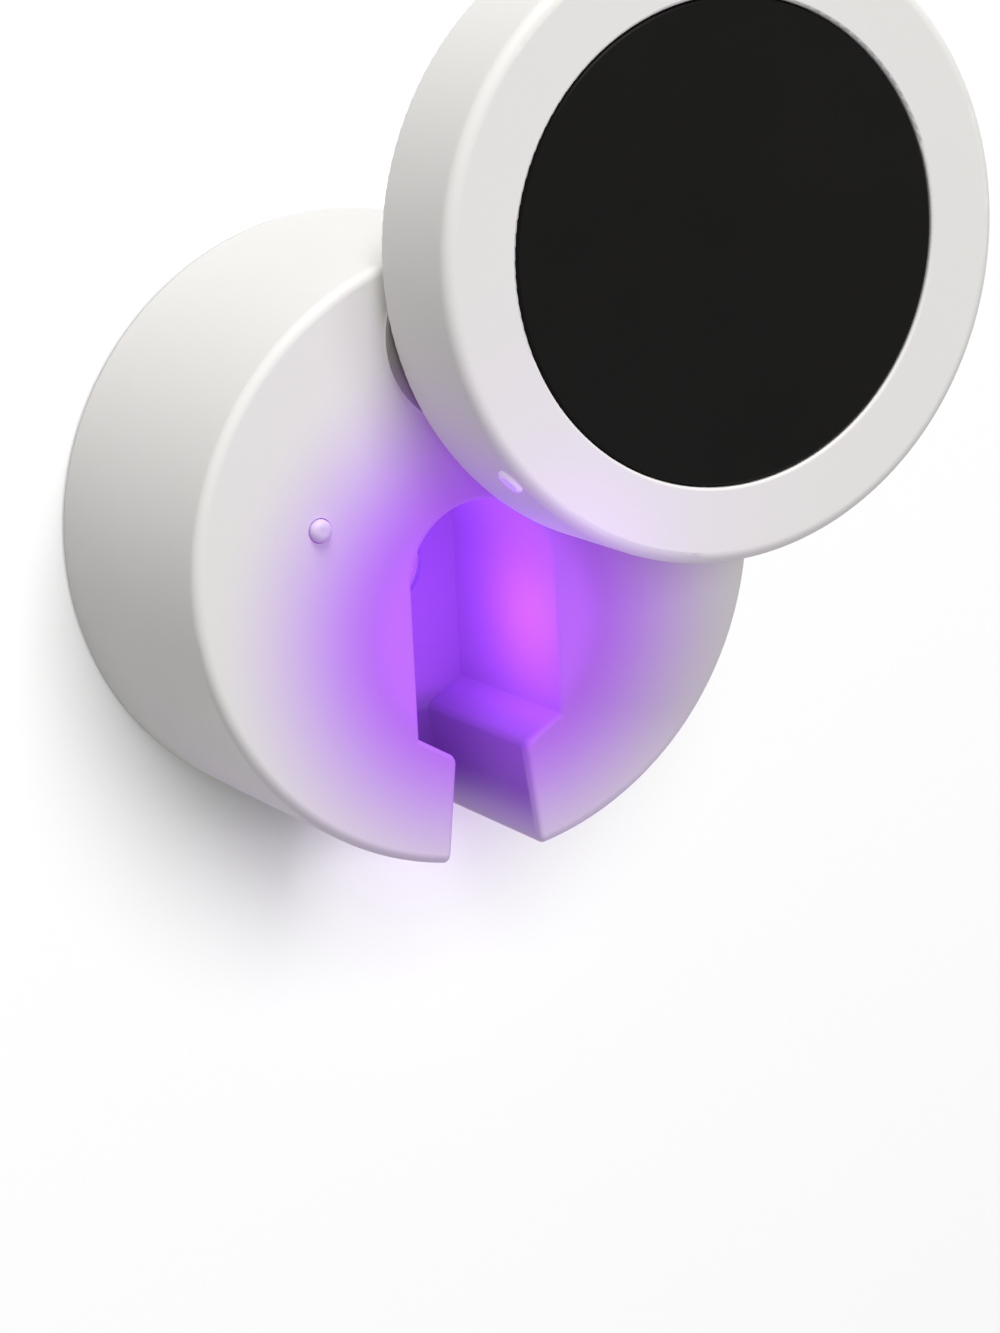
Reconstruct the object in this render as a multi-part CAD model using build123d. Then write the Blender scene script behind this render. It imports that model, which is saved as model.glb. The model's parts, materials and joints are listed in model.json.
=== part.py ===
"""Wall-hung ultraviolet sanitizing case, with a round lid that swivels open.

Millimetres, +Z up. The origin is the centre of the adhesive face that sticks to the wall.
+Y points into the wall, so the open pocket faces -Y.
Lid pieces are drawn closed, over the drum, and are then turned about the pivot to rest open.
"""
from build123d import *
import math
import os

os.makedirs("parts", exist_ok=True)

# Drum of the case
case_radius = 30.0
side_wall = 2.0
face_wall = 2.0
front_round = 1.0
rear_round = 0.4
wall_air = 0.5

# Clearances, and how far a cut runs past the face that it opens
seat_clearance = 0.1
slide_clearance = 0.3
running_clearance = 0.03
press_clearance = 0.0
past = 1.0

# Arched pocket, and the neck slot that runs down from it and is open at its foot
pocket_half_width = 7.7
pocket_top = 5.3
pocket_depth = 20.0
pocket_wall = 1.4
pocket_floor_wall = 1.7
pocket_mouth_round = 0.5
ledge_top = -16.8
neck_half_width = 3.8
neck_top = -19.2
ledge_round = 1.1
flare_half_width = 5.1
lobe_round = 0.5

# Pivot of the lid
pivot_edge_air = 0.9
open_angle = 109.0
lid_swing = 180.0
hub_radius = 9.15
lid_gap = 1.0
stop_groove_circle = 6.9
stop_groove_depth = 1.3
stop_pin_radius = 0.5
stop_pin_reach = 0.9
thrust_washer_thickness = 0.25
thrust_washer_width = 2.3
axial_play = 0.05
shaft_radius = 3.5
shaft_bore_radius = 2.0
shaft_flange_radius = 5.5
shaft_flange_thickness = 1.2
shaft_tip = 0.8
pivot_seal_thickness = 0.4
bush_wall = 1.0
bush_flange_radius = 5.6
bush_flange_thickness = 0.8
bush_boss_wall = 1.5
bush_boss_height = 1.2
disc_spring_height = 0.7
disc_spring_thickness = 0.3
clip_thickness = 0.6
clip_radius = 5.1
clip_groove_depth = 0.5
clip_gap_angle = 70.0

# Wall side
pad_margin = 2.0
pad_thickness = 0.8
plate_thickness = 2.0
plate_edge = 0.4
plate_rim = 3.0
keeper_thickness = 1.2
peg_radius = 1.0
peg_height = 0.9

# Rear cover and its gasket
cover_rim = 2.4
plate_recess_gap = 0.5
cover_floor = 2.2
cover_setback = 0.2
gasket_thickness = 0.8
gasket_width = 1.5
gasket_shelf_width = 1.8
gasket_shelf_thickness = 1.2

# Case magnets
magnet_radius = 5.0
magnet_thickness = 1.4
magnet_air = 0.9
magnet_count = 4

# Screws: shank radius, head radius, head height and length under the head
case_screw_shank = 1.0
case_screw_head = 1.9
case_screw_head_height = 0.9
case_screw_length = 8.0
case_screw_margin = 0.7
upper_case_screw_angle = 32.0
lower_case_screw_angle = -48.0
small_screw_shank = 0.8
small_screw_head = 1.4
small_screw_head_height = 0.7
lamp_screw_length = 3.0
board_screw_length = 5.0
thread_clearance = 0.03
screw_boss_wall = 1.4
small_boss_wall = 1.2
drive_slot_width = 0.45
drive_slot_depth = 0.4
drive_slot_margin = 0.4

# Ultraviolet lamps behind the pocket floor
window_half_width = 4.0
window_half_height = 6.5
window_centre = -2.0
window_lip = 0.5
window_seat = 0.9
window_seal_thickness = 0.3
window_thickness = 0.9
lamp_size = 3.5
lamp_height = 1.0
lamp_dish_radius = 1.2
lamp_dish_depth = 0.6
lamp_gap = 0.2
lamp_pitch = 5.6
lamp_count = 2
lamp_board_thickness = 0.8
lamp_board_half_width = 6.0
lamp_board_margin = 2.1
lamp_boss_overlap = 0.3
lamp_boss_gap = 0.5
lamp_cover_air = 0.5

# Main board, to the right of the pocket
board_cover_gap = 8.1
board_thickness = 1.0
board_air = 1.5
board_edge_air = 2.4
board_port_air = 0.5
board_boss_air = 0.5
board_screw_inset = 2.6
board_screw_air = 0.5
chip_air = 0.2
chip_gap = 0.5
controller_size = (5.0, 5.0, 0.9)
controller_inset = (8.4, 5.0)
charger_size = (3.0, 3.0, 0.8)
charger_inset = 4.4
coil_size = (4.0, 4.0, 1.9)
coil_inset = 4.9
connector_inset = 2.4
connector_places = (5.5, 0.5)
connector_width = 4.0
connector_height = 3.8
connector_depth = 3.0

# Charging socket at the right of the drum
socket_length = 7.3
socket_width = 8.94
socket_height = 3.16
socket_shell = 0.3
socket_back_wall = 1.0
socket_setback = 0.8
tongue_thickness = 0.7
tongue_width = 6.7
tongue_length = 4.6
port_recess_depth = 1.4
port_cap_width = 12.2
port_cap_height = 6.8
port_boss_wall = 3.2
port_boss_depth = 2.7
port_nub_length = 1.1

# Battery, to the left of the pocket
cell_thickness = 8.0
cell_air = 1.15
cell_wall_air = 0.9
cell_boss_air = 0.7
cell_round = 1.2
foam_thickness = 2.2
foam_margin = 2.0
cell_rib_thickness = 1.2
cell_rib_spread = 8.0
cell_rib_bottom_inset = 2.8
cell_rib_top_inset = 8.0

# Wires
battery_wire_radius = 0.5
battery_wire_pitch = 1.35
lamp_wire_radius = 0.35
harness_radius = 0.8
harness_bend = 2.0
harness_meeting_depth = 2.0
lid_harness_bend = 1.6
lid_harness_lead_in = 3.4

# Detent nub on the face
detent_x = -16.9
detent_z = 4.8
nub_radius = 1.1
nub_height = 0.75
nub_round = 0.68
nub_clearance = 0.1
plunger_collar_radius = 1.8
plunger_collar_thickness = 1.0
plunger_stem_radius = 0.8
plunger_travel = 0.6
detent_sleeve_wall = 0.7
detent_cap_thickness = 0.8
detent_spring_length = 3.9
detent_spring_wire = 0.18
detent_spring_turns = 4
detent_spring_radius = 1.35
dimple_radius = 1.5
dimple_depth = 0.45

# Lid sensor and its magnet
sensor_board_inset = 5.4
sensor_board_rise = 5.0
sensor_width = 4.0
sensor_height = 3.0
sensor_depth = 1.6
sensor_leg_radius = 0.25
sensor_leg_pitch = 1.27
sensor_leg_root = 0.2
sensor_socket_wall = 0.8
sensor_socket_depth = 1.2
lid_magnet_radius = 2.2
lid_magnet_thickness = 2.0
lid_magnet_cover = 0.8

# Lid
lid_thickness = 12.25
lid_side_wall = 2.0
lid_front_wall = 2.0
lid_front_round = 1.2
lid_rear_round = 0.4
back_plate_thickness = 1.8
back_plate_edge = 0.3
lid_screw_length = 6.5
lid_screw_inset = 3.6
lid_screw_angles = (48.0, 158.0, 232.0, 308.0)
lid_recess_depth = 7.5
lid_recess_wall = 1.2
reflector_thickness = 0.4
reflector_setback = 0.4

# Black disc in the front of the lid
disc_ring_width = 7.4
disc_thickness = 1.3
disc_setback = 0.1
disc_edge = 0.25
disc_ring_edge = 0.3
adhesive_thickness = 0.2
adhesive_width = 7.0
adhesive_margin = 0.6
disc_floor_wall = 1.2
disc_floor_margin = 1.5

# Button on the lid's side wall
button_angle = 111.5
button_front_distance = 2.75
button_radius = 1.4
button_proud = 0.4
button_dome = 0.5
button_travel = 0.35
button_collar_width = 5.0
button_collar_thickness = 0.8
button_bay_width = 9.0
button_bay_wall = 1.0
switch_size = 2.8
switch_height = 1.5
switch_stem_radius = 0.7
switch_stem_height = 0.4
switch_gap = 0.05
button_board_width = 7.6
button_board_length = 3.4
button_board_thickness = 1.0

# Radii that follow the drum's, from the outside in
cavity_radius = case_radius - side_wall
cover_radius = cavity_radius - seat_clearance
cover_recess_radius = cover_radius - cover_rim
plate_radius = cover_recess_radius - plate_recess_gap
keeper_radius = plate_radius - plate_rim
pad_radius = plate_radius - pad_margin
peg_circle_radius = (plate_radius + keeper_radius) / 2
case_screw_circle = cover_recess_radius - case_screw_margin - case_screw_head - seat_clearance
magnet_circle_radius = case_screw_circle - case_screw_head - magnet_radius - magnet_air
pivot_height = cavity_radius - bush_flange_radius - pivot_edge_air
lid_radius = case_radius
lid_cavity_radius = lid_radius - lid_side_wall
lid_screw_circle = lid_cavity_radius - lid_screw_inset
disc_radius = lid_radius - disc_ring_width

# Places along Y, counted from the wall towards the room
rear_plane = -wall_air
plate_rear = -pad_thickness
plate_front = plate_rear - plate_thickness
cover_recess_floor = plate_front - slide_clearance
cover_front = cover_recess_floor - cover_floor
cover_rear = rear_plane - cover_setback
lamp_board_rear = cover_front - small_screw_head_height - lamp_cover_air
lamp_board_front = lamp_board_rear - lamp_board_thickness
lamp_front = lamp_board_front - lamp_height
window_rear = lamp_front - lamp_gap
window_front = window_rear - window_thickness
pocket_floor = window_front - window_seal_thickness - window_lip
face_plane = pocket_floor - pocket_depth
face_inside = face_plane + face_wall
pocket_floor_rear = pocket_floor + pocket_floor_wall
hub_top = face_plane - lid_gap + thrust_washer_thickness + axial_play
lid_rear = face_plane - lid_gap
lid_front = lid_rear - lid_thickness
plate_inside = lid_rear - back_plate_thickness
board_rear = cover_front - board_cover_gap
board_front = board_rear - board_thickness
port_centre = board_front - socket_height / 2
port_recess = case_radius - port_recess_depth
port_boss_inner = port_recess - port_boss_depth
socket_mouth = cavity_radius - socket_setback
socket_start = socket_mouth - socket_length
cell_rear = cover_front - foam_thickness
cell_front = cell_rear - cell_thickness
case_screw_boss = case_screw_shank + screw_boss_wall
small_screw_boss = small_screw_shank + small_boss_wall
disc_front = lid_front + disc_setback
disc_rear = disc_front + disc_thickness
disc_seat = disc_rear + adhesive_thickness
disc_floor_rear = disc_seat + disc_floor_wall
disc_floor_radius = disc_radius + disc_floor_margin
lid_front_inside = lid_front + lid_front_wall
bush_outer = shaft_radius + running_clearance + bush_wall
bush_boss_radius = bush_outer + bush_boss_wall
bush_end = plate_inside - bush_boss_height
bush_flange_end = bush_end - bush_flange_thickness
disc_spring_start = bush_flange_end - axial_play
clip_start = disc_spring_start - disc_spring_height
clip_end = clip_start - clip_thickness
shaft_end = clip_end - shaft_tip
flange_start = face_inside + pivot_seal_thickness
flange_rear = flange_start + shaft_flange_thickness
harness_meeting = lid_rear - harness_meeting_depth
button_y = lid_front + button_front_distance
button_collar_radius = lid_cavity_radius - seat_clearance
button_rear_radius = button_collar_radius - button_collar_thickness
switch_top_radius = button_rear_radius - button_travel - switch_gap
switch_base_radius = switch_top_radius - switch_stem_height - switch_height
button_board_radius = switch_base_radius - button_board_thickness
thrust_washer_inner = shaft_radius + seat_clearance
stop_groove_half = stop_pin_radius + seat_clearance
tub_half_width = pocket_half_width + pocket_wall
upper_case_screw_z = case_screw_circle * math.sin(math.radians(upper_case_screw_angle))
lower_case_screw_z = case_screw_circle * math.sin(math.radians(lower_case_screw_angle))
board_left = tub_half_width + board_air
board_right = port_boss_inner - board_port_air
board_top = upper_case_screw_z - case_screw_boss - board_boss_air
board_bottom = lower_case_screw_z + case_screw_boss + board_boss_air
board_edge_radius = cavity_radius - board_edge_air
board_screw_places = (
    (board_left + board_screw_inset, board_bottom + board_screw_inset),
    (socket_start - small_screw_boss - board_screw_air, board_top - board_screw_inset),
)
connector_x = board_left + connector_inset
sensor_x = board_right - sensor_board_inset
sensor_z = board_bottom + sensor_board_rise
cell_top = upper_case_screw_z - case_screw_boss - cell_boss_air
cell_bottom = lower_case_screw_z + case_screw_boss + cell_boss_air
cell_right = -tub_half_width - cell_air
cell_reach = max(-cell_bottom, cell_top)
cell_left = -math.sqrt((cavity_radius - cell_wall_air) ** 2 - cell_reach**2)
cell_x = (cell_left + cell_right) / 2
upper_lamp_screw = pocket_top + pocket_wall + small_screw_boss - lamp_boss_overlap
lower_lamp_screw = window_centre - window_half_height - window_seat - small_screw_boss - lamp_boss_gap
sleeve_inner = plunger_collar_radius + seat_clearance
collar_rear = face_inside + plunger_collar_thickness
stem_end = collar_rear + detent_spring_length - plunger_travel - slide_clearance
sleeve_end = collar_rear + detent_spring_length + detent_cap_thickness


def polar(radius, degrees):
    """Return X and Z at a radius and an angle from +X towards +Z."""
    turn = math.radians(degrees)
    return radius * math.cos(turn), radius * math.sin(turn)


def prism(face, y_back, y_front):
    """Extrude a face drawn in X and Z from y_back towards the room, to y_front."""
    return extrude(Plane.XZ.offset(-y_back) * face, amount=y_back - y_front)


def rod(x, z, radius, y_back, y_front):
    """Return a round bar along Y."""
    return prism(Pos(x, z) * Circle(radius), y_back, y_front)


def tube(x, z, outer, inner, y_back, y_front):
    """Return a round tube along Y."""
    return prism(Pos(x, z) * (Circle(outer) - Circle(inner)), y_back, y_front)


def slab(x_low, x_high, y_low, y_high, z_low, z_high):
    """Return a box between two corners."""
    size = (x_high - x_low, y_high - y_low, z_high - z_low)
    centre = ((x_low + x_high) / 2, (y_low + y_high) / 2, (z_low + z_high) / 2)
    return Pos(*centre) * Box(*size)


def round_edges_at(shape, y, radius, amount):
    """Round the full circles of one radius that lie at one height along Y."""
    picked = []
    for edge in shape.edges().filter_by(GeomType.CIRCLE):
        flat = abs(edge.center(CenterOf.BOUNDING_BOX).Y - y) < 0.01
        if flat and abs(edge.radius - radius) < 0.01:
            picked.append(edge)
    return fillet(picked, amount)


def screw(x, z, seat, length, shank, head, head_height):
    """Return a cross-slotted pan head screw that is driven from the wall side."""
    body = rod(x, z, head, seat + head_height, seat) + rod(x, z, shank, seat, seat - length)
    reach = head - drive_slot_margin
    top = seat + head_height
    half = drive_slot_width / 2
    slots = slab(x - reach, x + reach, top - drive_slot_depth, top + past, z - half, z + half)
    slots += slab(x - half, x + half, top - drive_slot_depth, top + past, z - reach, z + reach)
    return body - slots


def wire(points, radius, bend):
    """Return a round wire along straight runs joined by tangent arcs."""
    path = FilletPolyline(*points, radius=bend)
    start = Plane(origin=path @ 0, z_dir=path % 0)
    return sweep(start * Circle(radius), path=path)


def head_outline():
    """Return the arched part of the pocket, down to the neck."""
    spring = pocket_top - pocket_half_width
    left = -pocket_half_width
    side = Line((left, spring), (left, ledge_top))
    ledge = Line((left, ledge_top), (-neck_half_width, neck_top))
    foot = Line((-neck_half_width, neck_top), (neck_half_width, neck_top))
    other_ledge = Line((neck_half_width, neck_top), (-left, ledge_top))
    other_side = Line((-left, ledge_top), (-left, spring))
    arch = ThreePointArc((-left, spring), (0, pocket_top), (left, spring))
    return make_face(Curve() + [side, ledge, foot, other_ledge, other_side, arch])


def pocket_outline():
    """Return the pocket and its flared neck slot, run past the drum's bottom."""
    bottom = -case_radius
    spread = (flare_half_width - neck_half_width) / (neck_top - bottom)
    half_past = flare_half_width + spread * past
    low = bottom - past
    corners = [(neck_half_width, neck_top), (half_past, low)]
    corners += [(-half_past, low), (-neck_half_width, neck_top)]
    neck = make_face(Polyline(*corners, close=True))
    whole = head_outline() + neck
    shoulders = [v for v in whole.vertices() if abs(v.Y - neck_top) < 0.01]
    return fillet(shoulders, ledge_round)


def drum_cut(radius):
    """Return a long cylinder that trims pieces to the drum's outline."""
    return rod(0, 0, radius, past, lid_front - past)


def opened(shape):
    """Turn a piece of the lid from closed to its open rest place."""
    return shape.rotate(Axis((0, 0, pivot_height), (0, -1, 0)), open_angle)


def adhesive_pad():
    return rod(0, 0, pad_radius, 0, plate_rear)


def wall_plate():
    plate = chamfer(
        rod(0, 0, plate_radius, plate_rear, plate_front).edges().group_by(Axis.Y)[0], plate_edge
    )
    plate -= rod(0, 0, keeper_radius + seat_clearance, plate_front + keeper_thickness, plate_front - past)
    for angle in (0, 180):
        x, z = polar(peg_circle_radius, angle)
        plate += rod(x, z, peg_radius, plate_front + keeper_thickness, plate_front - peg_height)
    return plate


def keeper_disc():
    return rod(0, 0, keeper_radius, plate_front + keeper_thickness, plate_front)


def magnet_places():
    return [polar(magnet_circle_radius, 45 + 360 * i / magnet_count) for i in range(magnet_count)]


def case_screw_places():
    upper, lower = upper_case_screw_angle, lower_case_screw_angle
    return [polar(case_screw_circle, angle) for angle in (upper, 180 - upper, 180 - lower, lower)]


def rear_cover():
    cover = rod(0, 0, cover_radius, cover_rear, cover_front)
    cover -= rod(0, 0, cover_recess_radius, cover_rear + past, cover_recess_floor)
    counterbore = cover_recess_floor - case_screw_head_height - seat_clearance
    for x, z in case_screw_places():
        cover -= rod(x, z, case_screw_head + seat_clearance, 0, counterbore)
        cover -= rod(x, z, case_screw_shank + seat_clearance, 0, cover_front - past)
    for x, z in magnet_places():
        pocket = cover_recess_floor - magnet_thickness - seat_clearance
        cover -= rod(x, z, magnet_radius + seat_clearance, cover_recess_floor + past, pocket)
    for angle in (0, 180):
        x, z = polar(peg_circle_radius, angle)
        depth = plate_front - peg_height - slide_clearance
        cover -= rod(x, z, peg_radius + slide_clearance, cover_recess_floor + past, depth)
    return cover


def case_magnets():
    rear = cover_recess_floor - seat_clearance
    return [rod(x, z, magnet_radius, rear, rear - magnet_thickness) for x, z in magnet_places()]


def case_screws():
    seat = cover_recess_floor - case_screw_head_height - seat_clearance
    sizes = (case_screw_length, case_screw_shank, case_screw_head, case_screw_head_height)
    return [screw(x, z, seat, *sizes) for x, z in case_screw_places()]


def rear_gasket():
    outer = cavity_radius - seat_clearance
    return tube(0, 0, outer, outer - gasket_width, cover_front, cover_front - gasket_thickness)


def blind_boss(x, z, outer, hole, y_tip, y_root, depth):
    """Return a screw boss that rises to y_tip and the hole that goes into it."""
    return rod(x, z, outer, y_tip, y_root), rod(x, z, hole, y_tip + past, y_tip - depth)


def base_shell():
    shell = round_edges_at(
        rod(0, 0, case_radius, rear_plane, face_plane), face_plane, case_radius, front_round
    )
    shell = round_edges_at(shell, rear_plane, case_radius, rear_round)
    shell -= rod(0, 0, cavity_radius, rear_plane + past, face_inside)
    shelf_rear = cover_front - gasket_thickness
    shelf_inner = cavity_radius - gasket_shelf_width
    shell += tube(0, 0, cavity_radius, shelf_inner, shelf_rear, shelf_rear - gasket_shelf_thickness)
    hub = rod(0, pivot_height, hub_radius, face_inside, hub_top)
    shell += hub & drum_cut(case_radius)
    pocket = pocket_outline()
    tub = prism(offset(pocket, pocket_wall, kind=Kind.ARC), pocket_floor_rear, face_inside)
    shell += tub & drum_cut(cavity_radius)

    holes = []
    for x, z in case_screw_places():
        hole = case_screw_shank + thread_clearance
        boss, bore = blind_boss(x, z, case_screw_boss, hole, cover_front, face_inside, case_screw_length)
        shell += boss
        holes.append(bore)
    hole = small_screw_shank + thread_clearance
    for z, root in ((upper_lamp_screw, face_inside), (lower_lamp_screw, pocket_floor_rear)):
        tip = lamp_board_front
        depth = lamp_screw_length - lamp_board_thickness + seat_clearance
        boss, bore = blind_boss(0, z, small_screw_boss, hole, tip, root, depth)
        shell += boss
        holes.append(bore)
    for x, z in board_screw_places:
        depth = board_screw_length - board_thickness + seat_clearance
        boss, bore = blind_boss(x, z, small_screw_boss, hole, board_front, face_inside, depth)
        shell += boss
        holes.append(bore)

    sleeve_outer = sleeve_inner + detent_sleeve_wall
    shell += tube(detent_x, detent_z, sleeve_outer, sleeve_inner, sleeve_end, face_inside)
    holes.append(rod(detent_x, detent_z, nub_radius + nub_clearance, face_inside + past, face_plane - past))
    holes.append(rod(0, pivot_height, shaft_radius + press_clearance, face_inside + past, hub_top - past))
    holes.append(stop_groove())

    for rib_x in (cell_x - cell_rib_spread / 2, cell_x + cell_rib_spread / 2):
        half = cell_rib_thickness / 2
        low = cell_bottom + cell_rib_bottom_inset
        high = cell_top - cell_rib_top_inset
        shell += slab(rib_x - half, rib_x + half, face_inside, cell_front, low, high)

    half_w = sensor_width / 2 + seat_clearance
    half_h = sensor_height / 2 + seat_clearance
    wall = sensor_socket_wall
    well_end = face_inside + sensor_socket_depth
    well = slab(
        sensor_x - half_w - wall, sensor_x + half_w + wall, face_inside, well_end,
        sensor_z - half_h - wall, sensor_z + half_h + wall,
    )
    well -= slab(
        sensor_x - half_w, sensor_x + half_w, face_inside, well_end + past,
        sensor_z - half_h, sensor_z + half_h,
    )
    shell += well

    shell += port_boss()
    for bore in holes:
        shell -= bore
    shell -= port_cut()
    shell -= prism(pocket, pocket_floor, lid_front)
    shell -= window_cut()
    return soften_mouth(shell)


def stop_groove():
    """Return the curved groove in the hub that limits the lid's swing."""
    path = CenterArc((0, 0), stop_groove_circle, -90, lid_swing)
    groove = trace(path, 2 * stop_groove_half)
    for angle in (-90, lid_swing - 90):
        groove += Pos(*polar(stop_groove_circle, angle)) * Circle(stop_groove_half)
    return prism(Pos(0, pivot_height) * groove, hub_top + stop_groove_depth, hub_top - past)


def soften_mouth(shell):
    """Round the lobes of the neck slot and the edge where the pocket meets the face."""
    lobes = []
    for edge in shell.edges().filter_by(Axis.Y):
        middle = edge.center()
        low = math.hypot(middle.X, middle.Z) > case_radius - 0.2
        if low and middle.Z < neck_top and middle.Y < pocket_floor:
            lobes.append(edge)
    shell = fillet(lobes, lobe_round)
    mouth = []
    for edge in shell.edges():
        box = edge.bounding_box()
        on_face = abs(box.min.Y - face_plane) < 0.01 and abs(box.max.Y - face_plane) < 0.01
        inside = max(abs(box.min.X), abs(box.max.X)) < pocket_half_width + 0.1
        if on_face and inside and box.max.Z < pocket_top + 0.1:
            mouth.append(edge)
    return fillet(mouth, pocket_mouth_round)


def port_slot(width, height):
    """Return a rounded slot that lies across the charging port, for an extrusion along X."""
    return Plane.YZ * (Pos(port_centre, 0) * RectangleRounded(height, width, height / 2 - 0.01))


def port_boss():
    width = socket_width + 2 * port_boss_wall
    height = socket_height + 2 * port_boss_wall
    block = extrude(Pos(port_boss_inner, 0, 0) * port_slot(width, height), amount=side_wall * 3)
    return block & drum_cut(case_radius - side_wall / 2)


def port_cut():
    width = socket_width + 2 * seat_clearance
    height = socket_height + 2 * seat_clearance
    reach = case_radius
    cut = extrude(Pos(port_boss_inner - past, 0, 0) * port_slot(width, height), amount=reach)
    cap_width = port_cap_width + 2 * seat_clearance
    cap_height = port_cap_height + 2 * seat_clearance
    return cut + extrude(Pos(port_recess, 0, 0) * port_slot(cap_width, cap_height), amount=reach)


def window_face(grow):
    """Return the window's oblong, wider by grow on every side."""
    half = window_half_width + grow
    tall = window_half_height + grow
    return Pos(0, window_centre) * RectangleRounded(2 * half, 2 * tall, half - 0.01)


def window_cut():
    cut = prism(window_face(0), pocket_floor_rear + past, pocket_floor - past)
    return cut + prism(window_face(window_seat), pocket_floor_rear + past, pocket_floor + window_lip)


def uv_window():
    return prism(window_face(window_seat - seat_clearance), window_rear, window_front)


def window_seal():
    outline = window_face(window_seat - seat_clearance) - window_face(0)
    return prism(outline, window_front, window_front - window_seal_thickness)


def lamp_places():
    return [window_centre + lamp_pitch * (i - (lamp_count - 1) / 2) for i in range(lamp_count)]


def uv_lamps():
    lamps = []
    half = lamp_size / 2
    for z in lamp_places():
        body = slab(-half, half, lamp_front, lamp_board_front, z - half, z + half)
        dish = rod(0, z, lamp_dish_radius, lamp_front + lamp_dish_depth, lamp_front - past)
        lamps.append(body - dish)
    return lamps


def uv_lamp_board():
    top = upper_lamp_screw + lamp_board_margin
    bottom = lower_lamp_screw - lamp_board_margin
    outline = Pos(0, (top + bottom) / 2) * RectangleRounded(
        2 * lamp_board_half_width, top - bottom, small_boss_wall
    )
    board = prism(outline, lamp_board_rear, lamp_board_front)
    for z in (upper_lamp_screw, lower_lamp_screw):
        board -= rod(0, z, small_screw_shank + seat_clearance, 0, lamp_board_front - past)
    return board


def small_screw(x, z, seat, length):
    return screw(x, z, seat, length, small_screw_shank, small_screw_head, small_screw_head_height)


def lamp_screws():
    heights = (upper_lamp_screw, lower_lamp_screw)
    return [small_screw(0, z, lamp_board_rear, lamp_screw_length) for z in heights]


def main_board():
    middle = Pos((board_left + board_right) / 2, (board_bottom + board_top) / 2)
    blank = middle * Rectangle(board_right - board_left, board_top - board_bottom)
    board = prism(Circle(board_edge_radius) & blank, board_rear, board_front)
    for x, z in board_screw_places:
        board -= rod(x, z, small_screw_shank + seat_clearance, 0, board_front - past)
    return board


def board_screws():
    return [small_screw(x, z, board_rear, board_screw_length) for x, z in board_screw_places]


def board_chips():
    """Return the controller, the charger and the coil on the board's wall side."""
    chips = []
    coil_top = board_screw_places[1][1] - small_screw_head - chip_air
    charger_top = coil_top - coil_size[1] - chip_gap
    controller_place = (board_left + controller_inset[0], board_bottom + controller_inset[1])
    charger_place = (board_right - charger_inset, charger_top - charger_size[1] / 2)
    coil_place = (board_left + coil_inset, coil_top - coil_size[1] / 2)
    sizes = (controller_size, charger_size, coil_size)
    places = (controller_place, charger_place, coil_place)
    for (width, height, thickness), (x, z) in zip(sizes, places):
        top = board_rear + thickness
        chips.append(slab(x - width / 2, x + width / 2, board_rear, top, z - height / 2, z + height / 2))
    return chips


def board_connectors():
    blocks = []
    half_w = connector_width / 2
    half_h = connector_height / 2
    for z in connector_places:
        blocks.append(
            slab(
                connector_x - half_w, connector_x + half_w, board_front - connector_depth, board_front,
                z - half_h, z + half_h,
            )
        )
    return blocks


def charge_socket():
    outer = extrude(Pos(socket_start, 0, 0) * port_slot(socket_width, socket_height), amount=socket_length)
    inner_width = socket_width - 2 * socket_shell
    inner_height = socket_height - 2 * socket_shell
    bottom = socket_start + socket_back_wall
    inner = extrude(Pos(bottom, 0, 0) * port_slot(inner_width, inner_height), amount=socket_length)
    return outer - inner


def socket_tongue():
    start = socket_start + socket_back_wall
    half = tongue_thickness / 2
    end = start + tongue_length
    return slab(start, end, port_centre - half, port_centre + half, -tongue_width / 2, tongue_width / 2)


def port_plug():
    width = port_cap_width
    height = port_cap_height
    cap = extrude(Pos(port_recess, 0, 0) * port_slot(width, height), amount=side_wall * 2)
    cap &= drum_cut(case_radius)
    nub_width = socket_width - 2 * seat_clearance
    nub_height_z = socket_height - 2 * seat_clearance
    nub_start = port_recess - port_nub_length
    nub = extrude(Pos(nub_start, 0, 0) * port_slot(nub_width, nub_height_z), amount=port_nub_length)
    return cap + nub


def hall_sensor():
    half_w = sensor_width / 2
    half_h = sensor_height / 2
    rear = face_inside + sensor_depth
    body = slab(sensor_x - half_w, sensor_x + half_w, face_inside, rear, sensor_z - half_h, sensor_z + half_h)
    for step in (-1, 0, 1):
        x = sensor_x + step * sensor_leg_pitch
        body += rod(x, sensor_z, sensor_leg_radius, board_front, rear - sensor_leg_root)
    return body


def battery_cell():
    cell = slab(cell_left, cell_right, cell_front, cell_rear, cell_bottom, cell_top)
    return fillet(cell.edges().filter_by(Axis.Z), cell_round)


def battery_foam():
    left, right = cell_left + foam_margin, cell_right - foam_margin
    return slab(left, right, cell_rear, cover_front, cell_bottom + foam_margin, cell_top - foam_margin)


def battery_leads():
    """Return two wires that run from the cell's top, over the pocket, to the board."""
    leads = []
    y_cell = (cell_front + cell_rear) / 2
    y_plug = board_front - connector_depth / 2
    z_plug = connector_places[0] + connector_height / 2
    over = upper_lamp_screw + small_screw_boss + 2 * battery_wire_radius
    for i in range(2):
        shift = i * battery_wire_pitch
        x_cell = cell_right - 2 * battery_wire_radius - shift
        x_plug = connector_x - battery_wire_radius + shift
        z_over = over + battery_wire_radius + shift
        points = [(x_cell, y_cell, cell_top), (x_cell, y_cell, z_over)]
        points += [(x_plug, y_plug, z_over), (x_plug, y_plug, z_plug)]
        leads.append(wire(points, battery_wire_radius, 2 * battery_wire_radius))
    return leads


def lamp_lead():
    y = (lamp_board_front + lamp_board_rear) / 2
    z = connector_places[1] - connector_height - 1.0
    points = [(lamp_board_half_width, y, z), (connector_x, y, z), (connector_x, board_rear, z)]
    return wire(points, lamp_wire_radius, 3 * lamp_wire_radius)


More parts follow.
